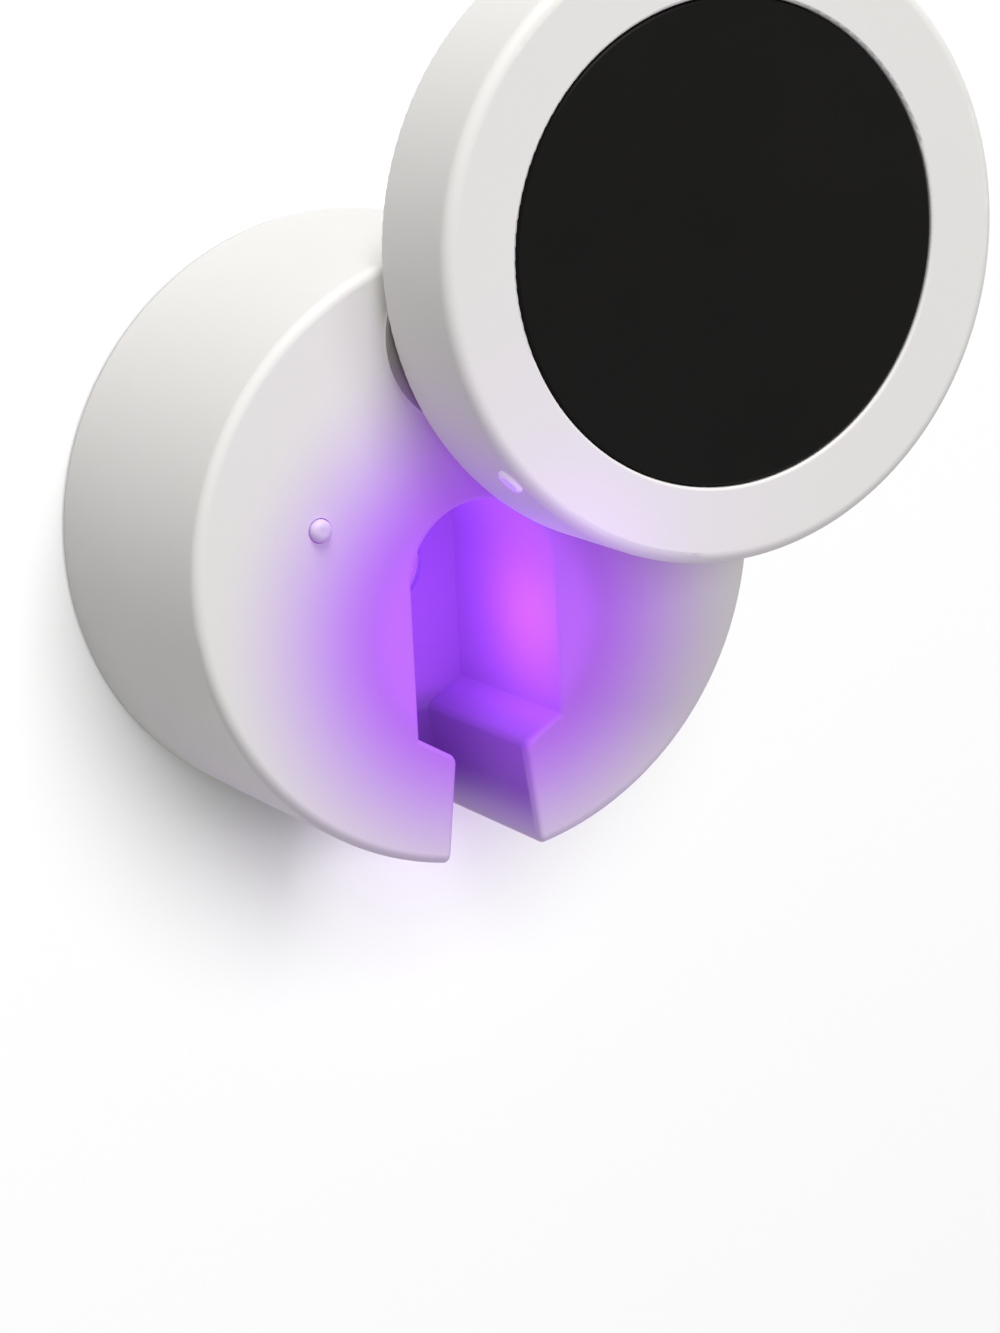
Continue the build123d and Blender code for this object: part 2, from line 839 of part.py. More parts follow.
def case_harness():
    """Return the cable from the board, through the hollow shaft, to where it meets the lid's."""
    y_turn = flange_rear + 2 * harness_bend
    y_plug = board_front - connector_depth
    y_run = y_plug - 2 * harness_bend
    z_plug = connector_places[1]
    points = [(0, harness_meeting, pivot_height), (0, y_turn, pivot_height)]
    points += [(connector_x, y_run, z_plug), (connector_x, y_plug, z_plug)]
    return wire(points, harness_radius, harness_bend)


def pivot_shaft():
    z = pivot_height
    shaft = rod(0, z, shaft_flange_radius, flange_rear, flange_start)
    shaft += rod(0, z, shaft_radius, flange_start, shaft_end)
    groove = tube(0, z, shaft_radius + past, shaft_radius - clip_groove_depth, clip_start, clip_end)
    return shaft - groove - rod(0, z, shaft_bore_radius, flange_rear + past, shaft_end - past)


def pivot_seal():
    inner = shaft_radius + seat_clearance
    return tube(0, pivot_height, shaft_flange_radius - seat_clearance, inner, flange_start, face_inside)


def thrust_washer():
    outer = thrust_washer_inner + thrust_washer_width
    front = hub_top - thrust_washer_thickness
    return tube(0, pivot_height, outer, thrust_washer_inner, hub_top, front)


def disc_spring():
    """Return a coned washer that presses the lid towards the hub."""
    inner = shaft_radius + seat_clearance
    outer = bush_flange_radius - seat_clearance
    rise = disc_spring_height - disc_spring_thickness
    corners = [(outer, 0), (outer, disc_spring_thickness)]
    corners += [(inner, rise + disc_spring_thickness), (inner, rise)]
    section = make_face(Polyline(*corners, close=True))
    cone = revolve(Plane.XZ * section, Axis.Z)
    return Pos(0, disc_spring_start, pivot_height) * Rot(90, 0, 0) * cone


def retaining_clip():
    z = pivot_height
    ring = tube(0, z, clip_radius, shaft_radius - clip_groove_depth, clip_start, clip_end)
    reach = 2 * clip_radius
    half = math.radians(clip_gap_angle / 2)
    side = (reach * math.cos(half), reach * math.sin(half))
    mouth = make_face(Polyline((0, 0), side, (side[0], -side[1]), close=True))
    return ring - prism(Pos(0, z) * mouth, clip_start + past, clip_end - past)


def stop_pin():
    """Return the pin in the lid's back plate that runs in the hub's groove."""
    z = pivot_height - stop_groove_circle
    return rod(0, z, stop_pin_radius, hub_top + stop_pin_reach, plate_inside)


def detent_plunger():
    """Return the round nub, its collar and the stem that the spring goes round."""
    x, z = detent_x, detent_z
    tip = face_plane - nub_height
    plunger = rod(x, z, nub_radius, face_inside, tip)
    ends = plunger.edges().group_by(Axis.Y)[0]
    plunger = fillet(ends, nub_round)
    plunger += rod(x, z, plunger_collar_radius, collar_rear, face_inside)
    return plunger + rod(x, z, plunger_stem_radius, stem_end, collar_rear)


def detent_cap():
    rear = sleeve_end
    cap = rod(detent_x, detent_z, sleeve_inner, rear, rear - detent_cap_thickness)
    front = rear - detent_cap_thickness
    return cap - rod(detent_x, detent_z, plunger_stem_radius + seat_clearance, rear + past, front - past)


def detent_spring():
    """Return a round-wire spring between the plunger's collar and the cap."""
    low = collar_rear + detent_spring_wire
    high = sleeve_end - detent_cap_thickness - detent_spring_wire
    height = high - low
    path = Helix(height / detent_spring_turns, height, detent_spring_radius)
    start = Plane(origin=path @ 0, z_dir=path % 0)
    coil = sweep(start * Circle(detent_spring_wire), path=path, is_frenet=True)
    return Pos(detent_x, low, detent_z) * Rot(-90, 0, 0) * coil


def lid_screw_places():
    return [polar(lid_screw_circle, angle) for angle in lid_screw_angles]


def button_frame(radius):
    """Return the plane at a radius in the lid whose normal points outwards at the button."""
    x, z = polar(radius, button_angle)
    turn = math.radians(button_angle)
    return Plane(origin=(x, button_y, z), x_dir=(0, 1, 0), z_dir=(math.cos(turn), 0, math.sin(turn)))


def button_bar(face, radius_low, radius_high):
    """Extrude a face between two radii, along the button's travel."""
    return extrude(button_frame(radius_low) * face, amount=radius_high - radius_low)


def lid_shell():
    shell = round_edges_at(rod(0, 0, lid_radius, lid_rear, lid_front), lid_front, lid_radius, lid_front_round)
    shell = round_edges_at(shell, lid_rear, lid_radius, lid_rear_round)
    shell -= rod(0, 0, lid_cavity_radius, lid_rear + past, lid_front_inside)
    shell += rod(0, 0, disc_floor_radius, disc_floor_rear, lid_front_inside)
    seat_radius = disc_radius + seat_clearance
    shell -= rod(0, 0, seat_radius, disc_seat, lid_front - past)
    shell = round_edges_at(shell, lid_front, seat_radius, disc_ring_edge)
    depth = lid_screw_length - back_plate_thickness + case_screw_head_height + 2 * seat_clearance
    for x, z in lid_screw_places():
        hole = case_screw_shank + thread_clearance
        boss, bore = blind_boss(x, z, case_screw_boss, hole, plate_inside, lid_front_inside, depth)
        shell += boss & drum_cut(lid_cavity_radius + lid_side_wall / 2)
        shell -= bore
    bay_low = button_board_radius - seat_clearance
    bay_depth = 2 * (button_front_distance - button_bay_wall)
    bay = Rectangle(bay_depth, button_bay_width)
    bay_cut = button_bar(bay, bay_low, lid_cavity_radius)
    shell -= bay_cut & rod(0, 0, lid_cavity_radius, lid_rear, lid_front + button_bay_wall)
    hole = Circle(button_radius + seat_clearance)
    return shell - button_bar(hole, button_rear_radius, lid_radius + past)


def lid_back_plate():
    plate = rod(0, 0, lid_cavity_radius - seat_clearance, lid_rear, plate_inside)
    rim = plate.edges().group_by(Axis.Y)[-1]
    plate = chamfer(rim, back_plate_edge)
    recess_floor = lid_rear - lid_recess_depth
    tub = offset(head_outline(), lid_recess_wall, kind=Kind.ARC)
    plate += prism(tub, plate_inside, recess_floor - lid_recess_wall)
    plate += rod(0, pivot_height, bush_boss_radius, plate_inside, bush_end) & drum_cut(
        lid_cavity_radius - seat_clearance
    )
    magnet_end = lid_rear - lid_magnet_cover - lid_magnet_thickness
    holder = lid_magnet_radius + seat_clearance
    plate += tube(sensor_x, sensor_z, holder + sensor_socket_wall, holder, plate_inside, magnet_end)
    plate -= rod(sensor_x, sensor_z, holder, lid_rear - lid_magnet_cover, magnet_end - past)
    plate -= prism(head_outline(), lid_rear + past, recess_floor)
    plate -= rod(0, pivot_height, bush_outer + press_clearance, lid_rear + past, bush_end - past)
    pin_z = pivot_height - stop_groove_circle
    plate -= rod(0, pin_z, stop_pin_radius + press_clearance, lid_rear + past, plate_inside - past)
    counterbore = lid_rear - case_screw_head_height - seat_clearance
    for x, z in lid_screw_places():
        plate -= rod(x, z, case_screw_head + seat_clearance, lid_rear + past, counterbore)
        plate -= rod(x, z, case_screw_shank + seat_clearance, lid_rear + past, plate_inside - past)
    ball_offset = math.sqrt(dimple_ball_radius() ** 2 - dimple_radius**2)
    ball = Pos(detent_x, lid_rear + ball_offset, detent_z) * Sphere(dimple_ball_radius())
    return plate - ball


def dimple_ball_radius():
    """Return the radius of the ball that presses a dimple of the stated width and depth."""
    return (dimple_radius**2 + dimple_depth**2) / (2 * dimple_depth)


def lid_screws():
    seat = lid_rear - case_screw_head_height - seat_clearance
    sizes = (lid_screw_length, case_screw_shank, case_screw_head, case_screw_head_height)
    return [screw(x, z, seat, *sizes) for x, z in lid_screw_places()]


def lid_bush():
    bore = shaft_radius + running_clearance
    sleeve = tube(0, pivot_height, bush_outer, bore, lid_rear, bush_end)
    return sleeve + tube(0, pivot_height, bush_flange_radius, bore, bush_end, bush_flange_end)


def lid_reflector():
    recess_floor = lid_rear - lid_recess_depth
    outer = offset(head_outline(), -seat_clearance / 2, kind=Kind.ARC)
    inner = offset(head_outline(), -seat_clearance / 2 - reflector_thickness, kind=Kind.ARC)
    tray = prism(outer, lid_rear - reflector_setback, recess_floor)
    return tray - prism(inner, lid_rear + past, recess_floor + reflector_thickness)


def lid_magnet():
    rear = lid_rear - lid_magnet_cover
    return rod(sensor_x, sensor_z, lid_magnet_radius, rear, rear - lid_magnet_thickness)


def front_disc():
    disc = rod(0, 0, disc_radius, disc_rear, disc_front)
    return chamfer(disc.edges().group_by(Axis.Y)[0], disc_edge)


def disc_adhesive():
    outer = disc_radius - adhesive_margin
    return tube(0, 0, outer, outer - adhesive_width, disc_seat, disc_rear)


def power_button():
    cap = button_bar(Circle(button_radius), button_collar_radius, lid_radius + button_proud)
    frame = button_frame(lid_radius + button_proud)
    top = sorted(cap.edges(), key=lambda edge: (edge.center() - frame.origin).length)[0]
    cap = fillet(top, button_dome)
    collar = Rectangle(2 * button_radius, button_collar_width)
    return cap + button_bar(collar, button_rear_radius, button_collar_radius)


def button_switch():
    shoulder = switch_base_radius + switch_height
    body = button_bar(Rectangle(switch_size, switch_size), switch_base_radius, shoulder)
    return body + button_bar(Circle(switch_stem_radius), shoulder, switch_top_radius)


def button_board():
    outline = Rectangle(button_board_length, button_board_width)
    return button_bar(outline, button_board_radius, switch_base_radius)


def lid_harness():
    """Return the cable from the pivot's axis to the button's board."""
    board_x, board_z = polar(button_board_radius, button_angle)
    lead_x, lead_z = polar(button_board_radius - lid_harness_lead_in, button_angle)
    y = disc_floor_rear + harness_radius + seat_clearance
    points = [(0, harness_meeting, pivot_height), (0, y, pivot_height)]
    points += [(lead_x, y, lead_z), (board_x, y, board_z)]
    return wire(points, harness_radius, lid_harness_bend)


FIXED_PIECES = (
    adhesive_pad, wall_plate, keeper_disc, base_shell, rear_cover, rear_gasket, case_screws, case_magnets,
    uv_window, window_seal, uv_lamps, uv_lamp_board, lamp_screws, main_board, board_screws, board_chips,
    board_connectors, charge_socket, socket_tongue, port_plug, hall_sensor, battery_cell, battery_foam,
    battery_leads, lamp_lead, case_harness, pivot_shaft, pivot_seal, thrust_washer, disc_spring,
    retaining_clip, detent_plunger, detent_cap, detent_spring,
)
LID_PIECES = (
    lid_shell, lid_back_plate, lid_screws, lid_bush, stop_pin, lid_reflector, lid_magnet, front_disc,
    disc_adhesive, power_button, button_switch, button_board, lid_harness,
)


def write(name, shape):
    """Write one piece, or a group of equal pieces, under its own name."""
    if isinstance(shape, list):
        shape = Compound(children=shape)
    export_step(shape, f"parts/{name}.step")


for make in FIXED_PIECES:
    write(make.__name__, make())
for make in LID_PIECES:
    made = make()
    write(make.__name__, [opened(one) for one in made] if isinstance(made, list) else opened(made))
print("pieces written:", len(FIXED_PIECES) + len(LID_PIECES))
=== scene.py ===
# %% [markdown]
# # A wall-hung ultraviolet case
#
# The real object is a round white case, about 60 mm across, that sticks to a bathroom wall.
# Violet lamps shine in its arched pocket, and a round lid swivels shut over it.
# The solids come from a CAD model and stay where they are.
# This script gives each of them its finish, adds the fine parts that the CAD model leaves out, and
# lights the whole as a shop picture does: a white wall, one big soft lamp above and the violet lamps on.

# %% Load the solids
import json
import math

import bpy
from mathutils import Matrix, Vector

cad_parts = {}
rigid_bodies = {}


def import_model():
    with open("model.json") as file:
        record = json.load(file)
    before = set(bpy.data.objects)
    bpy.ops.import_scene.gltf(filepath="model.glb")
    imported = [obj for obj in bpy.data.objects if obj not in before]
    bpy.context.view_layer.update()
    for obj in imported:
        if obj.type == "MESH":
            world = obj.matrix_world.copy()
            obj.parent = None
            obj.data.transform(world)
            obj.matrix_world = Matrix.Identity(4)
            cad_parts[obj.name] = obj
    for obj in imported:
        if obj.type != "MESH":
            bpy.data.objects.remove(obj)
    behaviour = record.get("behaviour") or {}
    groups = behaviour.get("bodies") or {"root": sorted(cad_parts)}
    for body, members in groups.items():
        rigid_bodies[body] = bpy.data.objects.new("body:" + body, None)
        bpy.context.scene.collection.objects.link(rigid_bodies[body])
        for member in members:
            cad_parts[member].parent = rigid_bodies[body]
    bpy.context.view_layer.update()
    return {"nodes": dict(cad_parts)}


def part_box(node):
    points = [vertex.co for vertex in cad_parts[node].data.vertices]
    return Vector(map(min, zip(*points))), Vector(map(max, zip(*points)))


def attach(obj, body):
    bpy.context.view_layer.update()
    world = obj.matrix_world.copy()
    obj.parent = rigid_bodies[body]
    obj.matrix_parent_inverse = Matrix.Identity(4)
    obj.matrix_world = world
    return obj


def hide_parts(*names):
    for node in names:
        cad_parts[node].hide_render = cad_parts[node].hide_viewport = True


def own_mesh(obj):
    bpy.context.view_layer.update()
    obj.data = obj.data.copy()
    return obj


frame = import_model()
nodes = frame["nodes"]
MM = 0.001

# %% [markdown]
# ## Places read from the solids
#
# The fine parts have to land on the solids, so their places are read from the solids' own boxes.
# If the CAD model changes, they follow.
# The frame has its origin on the wall, with +Z up and -Y towards the room.
# The lid hangs turned about its pivot, and the turn follows from where its middle has gone: with the
# lid shut, the middle is straight below the pivot.

# %% Places
FACE_ABOVE_SEAL = 2.0 * MM

drum_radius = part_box("base_shell")[1].x
window_low, window_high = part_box("uv_window")
lamps_low, lamps_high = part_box("uv_lamps")
plug_low, plug_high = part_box("port_plug")
shaft_low, shaft_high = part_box("pivot_shaft")
lid_low, lid_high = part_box("lid_shell")
board_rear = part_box("main_board")[1].y
chips_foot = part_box("board_chips")[0].z
face_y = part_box("pivot_seal")[0].y - FACE_ABOVE_SEAL

pivot = (shaft_low + shaft_high) / 2
lid_centre = (lid_low + lid_high) / 2
lid_turn = math.atan2(lid_centre.z - pivot.z, lid_centre.x - pivot.x) + math.pi / 2
print("face at", round(face_y / MM, 2), "mm, lid turned by", round(math.degrees(lid_turn), 1), "degrees")

# %% [markdown]
# ## Colours and nodes
#
# Colours are written as the hex values that a screen shows, and shaders want linear light, so one
# function turns them.
# Another adds a node of any kind with its settings and links, which keeps each finish readable.
# A whole node may be handed on as an input: then the first output that it has open is linked.

# %% Colour and node helpers
def linear(code):
    """Turn a hex colour as a screen shows it into linear RGBA, along the sRGB curve."""
    shown = [int(code[i:i + 2], 16) / 255 for i in (1, 3, 5)]
    return tuple(c / 12.92 if c <= 0.04045 else ((c + 0.055) / 1.055) ** 2.4 for c in shown) + (1.0,)


def feed(node, inputs):
    """Link or set a node's inputs, each by its name or number."""
    for name, value in inputs.items():
        if isinstance(value, bpy.types.Node):
            value = next(socket for socket in value.outputs if socket.enabled)
        if isinstance(value, bpy.types.NodeSocket):
            node.id_data.links.new(value, node.inputs[name])
        else:
            node.inputs[name].default_value = value


def add(tree, kind, inputs=None, **settings):
    """Add a node with its settings, feed its inputs and return it."""
    node = tree.nodes.new(kind)
    for name, value in settings.items():
        setattr(node, name, value)
    feed(node, inputs or {})
    return node


print("white ABS in linear light:", [round(c, 3) for c in linear("#ebe9e6")])

# %% [markdown]
# ## Starting a finish
#
# Nothing real has one colour and one gloss all over.
# Moulding, handling and wiping leave soft clouds a few millimetres wide and a grain far finer, so each
# finish starts with these two, at their real sizes.
# Textures count features per metre, so each scale is one over a size in millimetres.
# Most finishes need no more than this start; the others go on from its nodes.

# %% Finish helpers
CLOUD_LOW = 0.3
CLOUD_HIGH = 0.7
CLOUD_DETAIL = 4.0
PATCH_DETAIL = 3.0
GRAIN_DETAIL = 2.0


def start_finish(name, dark, light, gloss, cloud=6.0, grain=0.4, depth=0.004, **sockets):
    """Start a finish: two near colours, a range of roughness, and its clouds and grain in mm."""
    material = bpy.data.materials.new(name)
    material.use_nodes = True
    tree = material.node_tree
    shader = tree.nodes["Principled BSDF"]
    place = add(tree, "ShaderNodeTexCoord").outputs["Object"]
    inputs = {"Vector": place, "Scale": 1 / (cloud * MM), "Detail": CLOUD_DETAIL}
    clouds = add(tree, "ShaderNodeTexNoise", inputs)
    inputs = {"Factor": clouds, "A": linear(dark), "B": linear(light)}
    tone = add(tree, "ShaderNodeMix", inputs, data_type="RGBA")
    inputs = {"Vector": place, "Scale": 2 / (cloud * MM), "Detail": PATCH_DETAIL}
    patches = add(tree, "ShaderNodeTexNoise", inputs)
    inputs = {
        "Value": patches, "From Min": CLOUD_LOW, "From Max": CLOUD_HIGH,
        "To Min": gloss[0], "To Max": gloss[1],
    }
    roughness = add(tree, "ShaderNodeMapRange", inputs, interpolation_type="SMOOTHSTEP")
    inputs = {"Vector": place, "Scale": 1 / (grain * MM), "Detail": GRAIN_DETAIL}
    grains = add(tree, "ShaderNodeTexNoise", inputs)
    inputs = {"Height": grains, "Strength": 1.0, "Distance": depth * MM}
    relief = add(tree, "ShaderNodeBump", inputs)
    feed(shader, {"Base Color": tone, "Roughness": roughness, "Normal": relief})
    feed(shader, {socket.replace("_", " "): value for socket, value in sockets.items()})
    return material, tree, shader, place, tone


def finish(*looks, **sockets):
    """Make a finish of the start alone, and return its material."""
    return start_finish(*looks, **sockets)[0]


def dress(material, *names):
    """Give CAD nodes a finish."""
    for name in names:
        slots = nodes[name].data.materials
        slots.clear()
        slots.append(material)
    print(material.name, "on", ", ".join(names))


# %% [markdown]
# ## Satin white ABS
#
# The shells are moulded in ABS, in a tool whose walls are spark-eroded.
# The eroded skin gives the eye a wide soft highlight and no mirror image, and round edges melt into
# the sides.
# Its grain is about 0.1 mm; it is drawn at 0.35 mm, coarser than real, so that it still shows in a
# picture of the whole.

# %% White shells
def white_abs(name):
    """Return satin white ABS as its material, tree, shader, coordinates and tone."""
    return start_finish(name, "#e9e7e4", "#edebe8", (0.5, 0.6), cloud=20, grain=0.35, depth=0.002)


dress(white_abs("satin_white_abs")[0], "rear_cover", "wall_plate", "lid_shell", "lid_back_plate")

# %% [markdown]
# ## The same ABS, lit from inside
#
# The lamps fill the pocket with violet light, and some of it goes into the white plastic about the
# pocket and comes out of the face as a round glow.
# Tracing light through plastic is slow and noisy, so the glow is painted into the case's shell.
# It is full at the pocket's edge and gone near the rim, and it is painted partly as emission and partly
# as a violet tint in the plastic's colour, so that the lid's shade still falls on it.
# The walls of the neck, the slot that runs down from the pocket, face away from the lamps, so painted
# shade makes them a darker violet.

# %% Where the glow and the neck are
GLOW_CENTRE = Vector((0.3, 0, -7.0)) * MM
GLOW_FULL = 10.0 * MM
GLOW_EDGE = 13.0 * MM
GLOW_END = 29.5 * MM
GLOW_DEEP = 20.0 * MM
GLOW_GONE = 26.0 * MM
NECK_TOP = -17.0 * MM
NECK_FULL = -20.0 * MM
NECK_FADING = -24.0 * MM
NECK_FOOT = -32.0 * MM
NECK_LIP = 1.5 * MM
NECK_INSIDE = 5.6 * MM
NECK_OUTSIDE = 7.0 * MM


def distance_about(tree, place, centre):
    """Return how far a point is from a line that runs straight out of the wall."""
    flat = add(tree, "ShaderNodeVectorMath", {0: place, 1: (1.0, 0.0, 1.0)}, operation="MULTIPLY")
    inputs = {0: flat, 1: (centre.x, 0.0, centre.z)}
    return add(tree, "ShaderNodeVectorMath", inputs, operation="DISTANCE")


def neck_walls(tree, x, y, z):
    """Return 1 on the walls of the neck and 0 elsewhere, eased at the ledges, the mouth and the foot."""
    aside = add(tree, "ShaderNodeMath", {0: x}, operation="ABSOLUTE")
    edges = (
        (z, NECK_TOP, NECK_FULL), (z, NECK_FOOT, NECK_FADING), (y, face_y, face_y + NECK_LIP),
        (aside, NECK_OUTSIDE, NECK_INSIDE),
    )
    share = 1.0
    for value, start, end in edges:
        inputs = {"Value": value, "From Min": start, "From Max": end}
        eased = add(tree, "ShaderNodeMapRange", inputs, interpolation_type="SMOOTHSTEP")
        share = add(tree, "ShaderNodeMath", {0: share, 1: eased}, operation="MULTIPLY")
    return share


print("the glow fades from", GLOW_FULL / MM, "to", GLOW_END / MM, "mm about its middle")

# %% [markdown]
# ## The lit shell
#
# The shell starts as the same white plastic, and each painted violet is mixed in by its share.
# The painted glow is strongest at the pocket's edge, and falls to half towards the pocket's floor.
# The lid rubs on the low hub under it, and the lid's shade on the raised hub is painted on as a grey.

# %% Lit shell
# Painted glow: the violet it shines by itself, and the violet tint it paints into the plastic.
GLOW_SHINE = linear("#b961f4")
GLOW_TINT = linear("#9550cb")
# Painted shade on the neck's walls.
NECK_PAINTED_SHADE = linear("#4c1a92")
NO_LIGHT = (0.0, 0.0, 0.0, 1.0)
SHINE = 0.40
EDGE_SHINE = 0.55
DEEP_SHARE = 0.5
HUB_RADIUS = 12.5 * MM
HUB_CLEAR = 0.2 * MM
# Grey painted on the hub as the shade under the lid.
HUB_PAINTED_SHADE = linear("#8f8886")


def lit_abs():
    """Return the shell's ABS with the painted glow, and painted shade in the neck and on the hub."""
    material, tree, shader, place, tone = white_abs("lit_white_abs")
    x, depth, z = add(tree, "ShaderNodeSeparateXYZ", {0: place}).outputs
    off_pivot = distance_about(tree, place, pivot)
    # Painted shade: the raised hub under the lid is painted grey.
    on_hub = add(tree, "ShaderNodeMath", {0: off_pivot, 1: HUB_RADIUS}, operation="LESS_THAN")
    above_face = add(tree, "ShaderNodeMath", {0: depth, 1: face_y - HUB_CLEAR}, operation="LESS_THAN")
    film_and_hub_shade = add(tree, "ShaderNodeMath", {0: on_hub, 1: above_face}, operation="MULTIPLY")
    tone = add(tree, "ShaderNodeMix", {"Factor": film_and_hub_shade, "A": tone, "B": HUB_PAINTED_SHADE}, data_type="RGBA")

    # Painted glow about the pocket, as a violet tint in the colour and as emission.
    off_glow = distance_about(tree, place, GLOW_CENTRE)
    inputs = {"Value": off_glow, "From Min": GLOW_END, "From Max": GLOW_FULL}
    spread = add(tree, "ShaderNodeMapRange", inputs, interpolation_type="SMOOTHSTEP")
    inputs = {"Value": depth, "From Min": face_y + GLOW_GONE, "From Max": face_y + GLOW_DEEP}
    shallow = add(tree, "ShaderNodeMapRange", inputs, interpolation_type="SMOOTHSTEP")
    glow = add(tree, "ShaderNodeMath", {0: spread, 1: shallow}, operation="MULTIPLY")
    # Painted shade: the neck's walls are painted a darker violet.
    inputs = {0: neck_walls(tree, x, depth, z), 1: shallow}
    neck = add(tree, "ShaderNodeMath", inputs, operation="MULTIPLY")
    inputs = {"Factor": neck, "A": GLOW_TINT, "B": NECK_PAINTED_SHADE}
    violet = add(tree, "ShaderNodeMix", inputs, data_type="RGBA")
    share = add(tree, "ShaderNodeMath", {0: glow, 1: neck}, operation="MAXIMUM")
    painted_glow_and_shade = add(tree, "ShaderNodeMix", {"Factor": share, "A": tone, "B": violet}, data_type="RGBA")

    inputs = {"Factor": glow, "A": NO_LIGHT, "B": GLOW_SHINE}
    shine = add(tree, "ShaderNodeMix", inputs, data_type="RGBA")
    inputs = {
        "Value": off_glow, "From Min": GLOW_EDGE, "From Max": GLOW_FULL,
        "To Min": SHINE, "To Max": EDGE_SHINE,
    }
    edge = add(tree, "ShaderNodeMapRange", inputs, interpolation_type="SMOOTHSTEP")
    inputs = {"Value": depth, "From Min": face_y + GLOW_DEEP, "From Max": face_y, "To Min": DEEP_SHARE}
    fading = add(tree, "ShaderNodeMapRange", inputs, interpolation_type="SMOOTHSTEP")
    strength = add(tree, "ShaderNodeMath", {0: edge, 1: fading}, operation="MULTIPLY")
    feed(shader, {"Base Color": painted_glow_and_shade, "Emission Color": shine, "Emission Strength": strength})
    return material


dress(lit_abs(), "base_shell", "detent_plunger")

# %% [markdown]
# ## Black acrylic
#
# The disc in the lid is black cast acrylic, cut by laser, with a fine matt front.
# The matt front gives the eye an even near-black with no reflections, a little warmer than neutral.
# Wiping leaves patches that are a touch glossier.

# %% Black disc
acrylic = finish(
    "black_acrylic", "#0b0a09", "#0f0e0c", (0.38, 0.5), cloud=15, depth=0.001,
    Specular_IOR_Level=0.08,
)
dress(acrylic, "front_disc")

# %% [markdown]
# ## Clear and soft plastics
#
# The button is milky polycarbonate with a polished face, over the switch, with a faint violet glow
# painted on it as emission: a small bright spot.
# The plug and the seals are silicone rubber, which is matt and a little dusty.
# The pads on the wall plate and on the cell are closed-cell foam, whose cut cells show as tiny pits of
# about 0.3 mm.
# The film that holds the disc is clear acrylic adhesive, a little amber.
# The lid's bush, the washer under it and the cap of the nub's spring are grey acetal, which slides well
# and has a waxy sheen.

# %% Button, silicone and foam
FOAM_CELL = 0.3 * MM
FOAM_PIT = 0.1 * MM
FOAM_RELIEF = 0.6


def cut_foam():
    """Return closed-cell foam with cut cells in its skin."""
    material, tree, shader, place, _ = start_finish(
        "cut_foam", "#cfcdc8", "#dddbd6", (0.8, 0.95), cloud=5,
    )
    cells = add(tree, "ShaderNodeTexVoronoi", {"Vector": place, "Scale": 1 / FOAM_CELL})
    inputs = {"Height": cells, "Strength": FOAM_RELIEF, "Distance": FOAM_PIT}
    feed(shader, {"Normal": add(tree, "ShaderNodeBump", inputs)})
    return material


# The button's violet glow is painted on as emission; it is no lamp.
milky = finish(
    "milky_polycarbonate", "#f4f0f8", "#fbf8ff", (0.1, 0.18), cloud=2, depth=0.0005,
    Coat_Weight=0.5, Emission_Color=linear("#d9a8ff"), Emission_Strength=0.25,
)
dress(milky, "power_button")
silicone = finish(
    "white_silicone", "#dcdbd7", "#e4e3df", (0.55, 0.7), cloud=4, grain=0.25, Sheen_Weight=0.15,
)
dress(silicone, "port_plug")
cloudy = finish("cloudy_silicone", "#c4c4c1", "#d0d0cc", (0.4, 0.55), cloud=3, Transmission_Weight=0.3)
dress(cloudy, "window_seal", "pivot_seal", "rear_gasket")
dress(cut_foam(), "adhesive_pad", "battery_foam")
film_and_hub_shade = finish("adhesive_film", "#d8cfae", "#e2dabd", (0.2, 0.35), cloud=3, Transmission_Weight=0.6)
dress(film_and_hub_shade, "disc_adhesive")
acetal = finish("grey_acetal", "#4c4c4e", "#565658", (0.3, 0.42), cloud=3)
dress(acetal, "detent_cap", "lid_bush", "thrust_washer")

# %% [markdown]
# ## Metals
#
# The screws, the springs, the disc in the wall plate and the pivot's shaft, clip and pin are steel with
# bright zinc on it, which is cool grey with soft smears.
# The magnets and the socket are nickel plated, which is smoother and warmer.
# The tray in the lid is drawn aluminium with a polished face, so that it throws the violet light back
# into the pocket; the rolling of the sheet leaves hair lines in it, 0.2 mm wide and 6 mm long.

# %% Steel, nickel and aluminium
HAIR_LENGTH = 6.0 * MM
HAIR_STRETCH = 30.0
HAIR_DETAIL = 3.0
HAIR_DEPTH = 0.004 * MM


def rolled_aluminium():
    """Return aluminium sheet whose hair lines run along the lid."""
    material, tree, shader, place, _ = start_finish(
        "rolled_aluminium", "#dcdde0", "#e8e9ec", (0.14, 0.26), cloud=4, Metallic=1.0,
    )
    inputs = {"Vector": place, "Rotation": (0.0, lid_turn, 0.0), "Scale": (HAIR_STRETCH, 1.0, 1.0)}
    turned = add(tree, "ShaderNodeMapping", inputs)
    inputs = {"Vector": turned, "Scale": 1 / HAIR_LENGTH, "Detail": HAIR_DETAIL}
    hairs = add(tree, "ShaderNodeTexNoise", inputs)
    inputs = {"Height": hairs, "Strength": 1.0, "Distance": HAIR_DEPTH}
    feed(shader, {"Normal": add(tree, "ShaderNodeBump", inputs)})
    return material


zinc = finish("zinc_plated_steel", "#a3a5a6", "#bcbebf", (0.22, 0.4), cloud=2.5, Metallic=1.0)
dress(
    zinc, "keeper_disc", "case_screws", "lid_screws", "lamp_screws", "board_screws", "stop_pin",
    "pivot_shaft", "disc_spring", "retaining_clip", "detent_spring",
)
nickel = finish("nickel_plate", "#cdc8bf", "#dbd6cd", (0.12, 0.24), cloud=2, Metallic=1.0)
dress(nickel, "case_magnets", "lid_magnet", "charge_socket")
dress(rolled_aluminium(), "lid_reflector")

